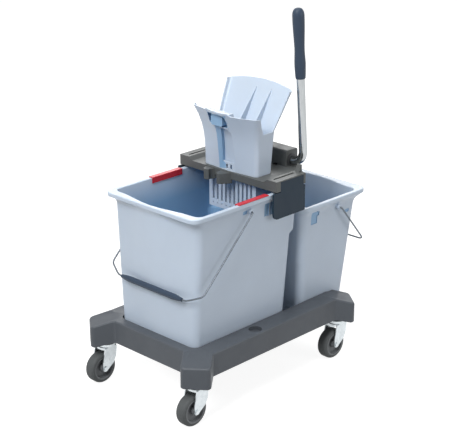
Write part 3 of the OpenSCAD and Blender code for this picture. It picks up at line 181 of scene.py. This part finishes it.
def moulded(name, rough, grain, relief, gloss=0.3):
    """Injection-moulded plastic, still without its colour: a fine grain, a swell and uneven gloss."""
    s = Shader(name)
    shine = s.spread(s.noise(scale=42.0, detail=3.0), rough - 0.06, rough + 0.07)
    swell = s.bump(s.noise(scale=26.0, detail=1.0), strength=0.10, distance=0.0006)
    fine = s.bump(s.noise(scale=grain, rough=0.6), strength=relief, distance=0.0002, under=swell)
    s.feed(Roughness=shine, Normal=fine)
    s.put(Specular_IOR_Level=gloss)
    return s


def plain_plastic(name, colour, drift, **surface):
    """Moulded plastic of one slightly cloudy colour."""
    s = moulded(name, **surface)
    s.feed(Base_Color=s.drift(s.cloud(), colour, drift))
    return s.material


def scuffed_plastic(name, colour, lighter, amount, **surface):
    """Moulded plastic with rubbed patches of faint scratches that are lighter than the rest."""
    s = moulded(name, **surface)
    scratch = s.noise(scale=20.0, detail=6.0, rough=0.75, vector=s.stretched((3.0, 40.0, 9.0)))
    rub = s.noise(scale=5.0, detail=5.0, rough=0.7)
    lines = s.spread(scratch, 0.0, amount, start=0.62, end=0.74)
    patches = s.spread(rub, 0.0, 1.0, start=0.45, end=0.7)
    cloud = s.cloud()
    base = s.drift(cloud, colour, 0.07)
    light = s.drift(cloud, shade(colour, lighter), 0.05)
    s.feed(Base_Color=s.mix(s.product(lines, patches), base, light))
    return s.material


def bucket_plastic():
    """Pale blue plastic with painted shade: a darker, bluer colour where a mesh carries the shade mark."""
    s = moulded("bucket_plastic", rough=0.36, grain=900.0, relief=0.05, gloss=0.45)
    cloud = s.cloud()
    outer = s.drift(cloud, PALE_BLUE, 0.03)
    # Painted shade: this darker, bluer colour takes over where the mesh's mark grows
    shade_colour = s.drift(cloud, SHADE_BLUE, 0.06)
    mark = s.add("ShaderNodeAttribute", attribute_name=SHADE_MARK).outputs["Fac"]
    s.feed(Base_Color=s.mix(s.spread(mark, 0.0, 1.0, start=0.0, end=FULL_SHADE), outer, shade_colour))
    s.put(Subsurface_Weight=0.08, Subsurface_Radius=(0.004, 0.005, 0.006), Subsurface_Scale=0.4)
    return s.material


def zinc_steel():
    """Galvanised steel with small crystals of slightly different tones."""
    s = Shader("zinc_steel")
    cells = s.add("ShaderNodeTexVoronoi")
    cells.inputs["Scale"].default_value = 150.0
    s.link(s.place, cells.inputs["Vector"])
    tone = s.ramp(cells.outputs["Color"], ZINC_DARK, ZINC_LIGHT, start=0.2, end=0.8)
    shine = s.spread(s.noise(scale=60.0, detail=4.0), 0.24, 0.42)
    fine = s.bump(s.noise(scale=420.0, detail=3.0), strength=0.06, distance=0.0002)
    s.feed(Base_Color=tone, Roughness=shine, Normal=fine)
    s.put(Metallic=1.0)
    return s.material


def drawn_steel(name, colour, rough, stretch):
    """Drawn steel with fine streaks, scaled along each axis by stretch."""
    s = Shader(name)
    streak = s.noise(scale=16.0, detail=4.0, rough=0.6, vector=s.stretched(stretch))
    tone = s.drift(streak, colour, 0.1)
    shine = s.spread(s.noise(scale=90.0, detail=3.0), rough - 0.05, rough + 0.05)
    s.feed(Base_Color=tone, Roughness=shine, Normal=s.bump(streak, strength=0.02, distance=0.0003))
    s.put(Metallic=1.0)
    return s.material


SCUFFED_PLASTICS = {
    "chassis_plastic": dict(
        colour=CHASSIS_GREY, lighter=1.9, amount=0.5, rough=0.46, grain=1300.0, relief=0.2
    ),
    "press_plastic": dict(
        colour=PRESS_GREY, lighter=1.7, amount=0.4, rough=0.5, grain=1300.0, relief=0.2
    ),
    "tyre_rubber": dict(
        colour=TYRE_GREY, lighter=1.8, amount=0.6, rough=0.68, grain=700.0, relief=0.35
    ),
}
PLAIN_PLASTICS = {
    "plate_plastic": dict(
        colour=(0.014, 0.028, 0.045), drift=0.06, rough=0.46, grain=1300.0, relief=0.18, gloss=0.2
    ),
    "grip_plastic": dict(
        colour=(0.034, 0.053, 0.086), drift=0.06, rough=0.42, grain=1500.0, relief=0.25, gloss=0.25
    ),
    "clip_plastic": dict(colour=(0.55, 0.022, 0.038), drift=0.05, rough=0.34, grain=900.0, relief=0.06),
    "hub_plastic": dict(colour=(0.17, 0.18, 0.19), drift=0.06, rough=0.45, grain=900.0, relief=0.12),
    "bush_plastic": dict(colour=(0.05, 0.052, 0.055), drift=0.05, rough=0.45, grain=900.0, relief=0.06),
}
materials = {
    "bucket_plastic": bucket_plastic(),
    "zinc_steel": zinc_steel(),
    "chrome_steel": drawn_steel("chrome_steel", CHROME, rough=0.13, stretch=(30.0, 30.0, 1.5)),
}
for name, values in SCUFFED_PLASTICS.items():
    materials[name] = scuffed_plastic(name, **values)
for name, values in PLAIN_PLASTICS.items():
    materials[name] = plain_plastic(name, **values)
wire_steel = drawn_steel("wire_steel", WIRE, rough=0.4, stretch=(2.0, 2.0, 2.0))


# Painted shade on the pale plastic: darker and bluer inside the buckets, in recesses and on the funnel's tongue

# Depth below the rim at which the painted shade inside a bucket reaches the mark 1
SHADE_DEPTH = {"large_bucket": 0.1, "small_bucket": 0.25}
# Depth below the rim from which a face that looks up belongs to the inside and gets its painted shade
LEDGE_DEPTH = 0.1
# Mark of the painted shade in the recesses and on the funnel's tongue
RECESS_SHADE = 0.55
# A face looks in a direction where its normal has at least this share of it
LOOKS_SHARE = 0.5
# How far a recess's box reaches past it, along the bucket and up
RECESS_MARGIN = Vector((0.0003, 0.0, 0.001))
# Distances from the middle plane between which the side walls lie near their recesses
WALL_NEAREST = 0.12
WALL_FARTHEST = 0.16


def in_side_walls(bail, along, up, width, height):
    """Boxes round a recess in both side walls, placed from the bail's pivot. Last is the way inward."""
    middle = pivot_of[bail] + Vector((along, 0.0, up))
    reach = Vector((width / 2, 0.0, height / 2)) + RECESS_MARGIN
    boxes = []
    for inward in (1.0, -1.0):
        skins = sorted((-inward * WALL_NEAREST, -inward * WALL_FARTHEST))
        low = middle - reach + Vector((0.0, skins[0], 0.0))
        high = middle + reach + Vector((0.0, skins[1], 0.0))
        boxes.append((low, high, Vector((0.0, inward, 0.0))))
    return boxes


def in_funnel(low, high):
    """A box in the funnel's front, placed from its front edge, the middle plane and its foot."""
    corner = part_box("funnel")[0]
    base = Vector((corner.x, 0.0, corner.z))
    return (base + Vector(low), base + Vector(high), Vector((1.0, 0.0, 0.0)))


# Boxes round the recesses and the tongue, which get painted shade. A face in a box gets it unless it looks in the
# direction given last.
recesses = {
    "large_bucket": in_side_walls("large_bail", along=0.058, up=-0.011, width=0.015, height=0.032)
    + in_side_walls("large_bail", along=0.0745, up=-0.011, width=0.011, height=0.032)
    + in_side_walls("large_bail", along=-0.015, up=0.0, width=0.013, height=0.008),
    "small_bucket": in_side_walls("small_bail", along=-0.084, up=-0.009, width=0.022, height=0.032)
    + in_side_walls("small_bail", along=-0.070, up=-0.001, width=0.0065, height=0.010)
    + in_side_walls("small_bail", along=0.038, up=-0.021, width=0.016, height=0.008),
    "funnel": [
        in_funnel(low=(0.008, 0.0088, 0.001), high=(0.044, 0.0274, 0.111)),
        in_funnel(low=(-0.004, -0.019, 0.107), high=(0.029, 0.048, 0.140)),
    ],
}


def depth_shade_marks(mesh, full_depth):
    """A painted-shade mark for each point of a bucket, from 0 at the rim to 1 at full_depth below it, and 0
    outside.
    """
    points = [v.co for v in mesh.vertices]
    rim = max(p.z for p in points)
    middle = sum(points, Vector()) / len(points)
    marks = []
    for vertex in mesh.vertices:
        depth = rim - vertex.co.z
        inward = vertex.normal.xy.dot((middle - vertex.co).xy) > 0.0
        on_ledge = vertex.normal.z > LOOKS_SHARE and depth > LEDGE_DEPTH
        marks.append(min(1.0, depth / full_depth) if inward or on_ledge else 0.0)
    return marks


def in_recess(face, boxes):
    """Whether a face belongs to one of the boxes."""
    for low, high, away in boxes:
        inside = all(a <= c <= b for a, c, b in zip(low, face.center, high))
        if inside and face.normal.dot(away) < LOOKS_SHARE:
            return True
    return False


def mark_painted_shade(node, mesh):
    """Marks where painted shade darkens a piece of the pale plastic."""
    marks = [0.0] * len(mesh.vertices)
    if node in SHADE_DEPTH:
        marks = depth_shade_marks(mesh, SHADE_DEPTH[node])
    tones = []
    for face in mesh.polygons:
        # Painted shade on the faces of recesses and of the funnel's tongue
        shaded = in_recess(face, recesses[node])
        tones += [RECESS_SHADE if shaded else marks[i] for i in face.vertices]
    mesh.attributes.new(SHADE_MARK, "FLOAT", "CORNER").data.foreach_set("value", tones)


# Pieces

# An edge where two faces turn by more than this stays sharp, or is rounded where the piece has rounded edges
SHARP_ANGLE = math.radians(32.0)
# Faces that turn by less than this become one face before edges are rounded
FLAT_ANGLE = math.radians(0.6)
WELD_DISTANCE = 2e-6
ROUNDING_SEGMENTS = 2
NORMAL_WEIGHT = 60
EDGE_ROUNDING = {
    "side_plate_near": 0.001,
    "side_plate_far": 0.001,
    "colour_clip_near": 0.0006,
    "colour_clip_far": 0.0006,
    "pusher": 0.0005,
    "shaft_collar": 0.0005,
}
WIRE_NODES = ("large_bail", "small_bail")


def round_edges(piece, width):
    modifier = piece.modifiers.new("edges", "BEVEL")
    modifier.width = width
    modifier.segments = ROUNDING_SEGMENTS
    modifier.limit_method = "ANGLE"
    modifier.angle_limit = SHARP_ANGLE
    modifier.use_clamp_overlap = True
    modifier.miter_outer = "MITER_ARC"


def show(node, work, mesh):
    """Makes a smoothly shaded piece of a worked mesh and lets it stand for a CAD node."""
    for edge in work.edges:
        edge.smooth = edge.calc_face_angle(0.0) < SHARP_ANGLE
    work.to_mesh(mesh)
    work.free()
    mesh.polygons.foreach_set("use_smooth", [True] * len(mesh.polygons))
    mesh.materials.clear()
    mesh.materials.append(wire_steel if node in WIRE_NODES else materials[slot_of[node]])
    # Painted shade on the pale plastic's insides, recesses and the funnel's tongue
    if node in recesses:
        mark_painted_shade(node, mesh)
    piece = bpy.data.objects.new(node + "_skin", mesh)
    bpy.context.scene.collection.objects.link(piece)
    if node in EDGE_ROUNDING:
        round_edges(piece, EDGE_ROUNDING[node])
    normals = piece.modifiers.new("normals", "WEIGHTED_NORMAL")
    normals.keep_sharp = True
    normals.weight = NORMAL_WEIGHT
    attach(piece, body_of[node])
    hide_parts(node)


def cleaned(node):
    """Shows a node by a copy of its own mesh with welded points."""
    mesh = nodes[node].data.copy()
    mesh.name = node + "_skin"
    work = bmesh.new()
    work.from_mesh(mesh)
    bmesh.ops.remove_doubles(work, verts=work.verts, dist=WELD_DISTANCE)
    if node in EDGE_ROUNDING:
        bmesh.ops.dissolve_limit(work, angle_limit=FLAT_ANGLE, verts=work.verts, edges=work.edges)
    show(node, work, mesh)


# Hand grip: a soft sleeve with a domed end, a waist for the fingers and a bore for the lever's tube

LEVER_LEAN = math.radians(4.4)
GRIP_BORE_RADIUS = 0.01002
# Thickness of the grip's end over the bore
GRIP_CAP = 0.006
GRIP_SIDES = 56
# The grip's outline from the foot up to the dome, as shares of its length and of its largest radius
GRIP_OUTLINE = [
    (0.0, 0.79), (0.012, 0.84), (0.08, 0.89), (0.20, 0.94), (0.32, 0.885), (0.41, 0.84), (0.51, 0.87),
    (0.66, 0.945), (0.78, 0.99), (0.87, 1.0),
]
OUTLINE_STEPS = 4
# Exponent of the dome's curve: 1 is an ellipse, less is fuller and clears the tube's end
GRIP_DOME = 0.78
DOME_DEGREES = (3, 7, 13, 20, 30, 40, 50, 60, 70, 77, 83, 87)
# Points within this height of the lowest one lie on the foot's edge
SAME_LEVEL = 1e-5


def eased(knots, steps):
    """Points on a Catmull-Rom curve through the knots."""
    padded = [knots[0], *knots, knots[-1]]
    points = []
    for four in zip(padded, padded[1:], padded[2:], padded[3:]):
        for step in range(steps):
            t = step / steps
            shares = (
                0.5 * (2 * t ** 2 - t ** 3 - t),
                0.5 * (2 - 5 * t ** 2 + 3 * t ** 3),
                0.5 * (t + 4 * t ** 2 - 3 * t ** 3),
                0.5 * (t ** 3 - t ** 2),
            )
            points.append(tuple(sum(k * p[axis] for k, p in zip(shares, four)) for axis in (0, 1)))
    return points + [knots[-1]]


def turned(outline, foot, up, sides):
    """A form turned round the axis from foot along up. The outline's points are (height, radius)."""
    across = up.orthogonal().normalized()
    beside = up.cross(across)
    work = bmesh.new()
    rings = []
    for height, radius in outline:
        angles = [2 * math.pi * i / sides for i in range(sides if radius else 1)]
        rims = [(across * math.cos(a) + beside * math.sin(a)) * radius for a in angles]
        rings.append([work.verts.new(foot + up * height + rim) for rim in rims])
    for one, two in zip(rings, rings[1:]):
        for i in range(sides):
            j = (i + 1) % sides
            corners = [one[i % len(one)], one[j % len(one)], two[j % len(two)], two[i % len(two)]]
            work.faces.new(list(dict.fromkeys(corners)))
    bmesh.ops.recalc_face_normals(work, faces=work.faces)
    return work


def hand_grip():
    """Shows the hand grip by a turned form of its node's place, length and largest radius."""
    up = Vector((-math.sin(LEVER_LEAN), 0.0, math.cos(LEVER_LEAN)))
    points = [v.co for v in nodes["hand_grip"].data.vertices]
    low = min(p.dot(up) for p in points)
    length = max(p.dot(up) for p in points) - low
    edge = [p for p in points if p.dot(up) < low + SAME_LEVEL]
    foot = sum(edge, Vector()) / len(edge)
    radius = max((p - foot - up * (p - foot).dot(up)).length for p in points)
    bore_end = length - GRIP_CAP
    outline = [(bore_end, 0.0), (bore_end, GRIP_BORE_RADIUS), (0.0, GRIP_BORE_RADIUS)]
    outline += [(h * length, r * radius) for h, r in eased(GRIP_OUTLINE, OUTLINE_STEPS)]
    dome_from = GRIP_OUTLINE[-1][0]
    for angle in map(math.radians, DOME_DEGREES):
        rise = dome_from + (1 - dome_from) * math.sin(angle) ** GRIP_DOME
        outline.append((rise * length, radius * math.cos(angle) ** GRIP_DOME))
    outline.append((length, 0.0))
    work = turned(outline, foot, up, GRIP_SIDES)
    show("hand_grip", work, bpy.data.meshes.new("hand_grip_skin"))


for name in sorted(nodes):
    if name != "hand_grip":
        cleaned(name)
hand_grip()


# Floor, light and camera

FLOOR_SIZE = 30.0
FLOOR_GREY = (0.40, 0.40, 0.40)
FLOOR_GLOW = 0.87
WHITE = (1.0, 1.0, 1.0, 1.0)
SURROUND_STRENGTH = 0.2
LIGHT_AIM = Vector((0.0, 0.0, 0.4))
# Each soft box has a place, a width and height, and a power in watts
SOFT_BOXES = {
    "key": ((-2.5, -0.4, 2.8), (1.6, 1.6), 92.0),
    "fill": ((0.9, -2.8, 1.3), (1.8, 1.4), 23.0),
    "top": ((-0.4, -0.2, 3.0), (1.8, 1.8), 30.0),
    "back": ((2.4, 2.0, 2.0), (1.8, 1.8), 34.0),
}
# The camera as fitted to the photo, with its lens and sensor in millimetres
CAMERA_PLACE = Vector((-2.14371, -2.07598, 1.46988))
CAMERA_AIM = Vector((-0.08655, -0.0764, 0.4212))
CAMERA_ROLL = math.radians(-0.10)
CAMERA_LENS = 104.884
CAMERA_SENSOR = 36.0


def seen_directly(tree):
    """1 for the camera's own rays and for mirrored and transmitted ones, 0 for scattered light."""
    path = tree.nodes.new("ShaderNodeLightPath")
    total = path.outputs["Is Camera Ray"]
    for ray in ("Is Glossy Ray", "Is Transmission Ray"):
        more = tree.nodes.new("ShaderNodeMath")
        more.operation = "MAXIMUM"
        tree.links.new(total, more.inputs[0])
        tree.links.new(path.outputs[ray], more.inputs[1])
        total = more.outputs[0]
    return total


def lit_floor():
    """A grey floor that takes the shadow, with a glow that only direct rays see."""
    bpy.ops.mesh.primitive_plane_add(size=FLOOR_SIZE, location=(0.0, 0.0, 0.0))
    floor = bpy.context.object
    floor.name = "floor"
    s = Shader("floor_paint")
    glow = s.spread(seen_directly(s.tree), 0.0, FLOOR_GLOW, start=0.0, end=1.0)
    s.feed(Base_Color=s.drift(s.noise(scale=3.0), FLOOR_GREY, 0.025), Emission_Strength=glow)
    s.put(Roughness=0.8, Specular_IOR_Level=0.2, Emission_Color=WHITE)
    floor.data.materials.append(s.material)


def white_surround():
    """A world that looks white to direct rays and lights the object faintly."""
    world = bpy.data.worlds.new("studio")
    bpy.context.scene.world = world
    world.use_nodes = True
    tree = world.node_tree
    background = tree.nodes["Background"]
    background.inputs["Color"].default_value = WHITE
    level = tree.nodes.new("ShaderNodeMapRange")
    level.inputs["To Min"].default_value = SURROUND_STRENGTH
    level.inputs["To Max"].default_value = 1.0
    tree.links.new(seen_directly(tree), level.inputs["Value"])
    tree.links.new(level.outputs["Result"], background.inputs["Strength"])


def looking(place, aim):
    """The turn that lets a lamp or a camera at place look at aim."""
    return (Vector(aim) - Vector(place)).to_track_quat("-Z", "Y")


def soft_box(name, place, size, power):
    light = bpy.data.lights.new(name, "AREA")
    light.shape = "RECTANGLE"
    light.size, light.size_y = size
    light.energy = power
    lamp = bpy.data.objects.new(name, light)
    bpy.context.scene.collection.objects.link(lamp)
    lamp.location = place
    lamp.rotation_euler = looking(place, LIGHT_AIM).to_euler()


def photo_camera():
    data = bpy.data.cameras.new("camera")
    data.sensor_fit = "HORIZONTAL"
    data.sensor_width = CAMERA_SENSOR
    data.lens = CAMERA_LENS
    camera = bpy.data.objects.new("camera", data)
    bpy.context.scene.collection.objects.link(camera)
    turn = looking(CAMERA_PLACE, CAMERA_AIM).to_matrix().to_4x4()
    camera.matrix_world = Matrix.Translation(CAMERA_PLACE) @ turn @ Matrix.Rotation(CAMERA_ROLL, 4, "Z")
    bpy.context.scene.camera = camera


lit_floor()
white_surround()
for name, (place, size, power) in SOFT_BOXES.items():
    soft_box(name, place, size, power)
photo_camera()
bpy.context.scene.view_settings.view_transform = "Standard"
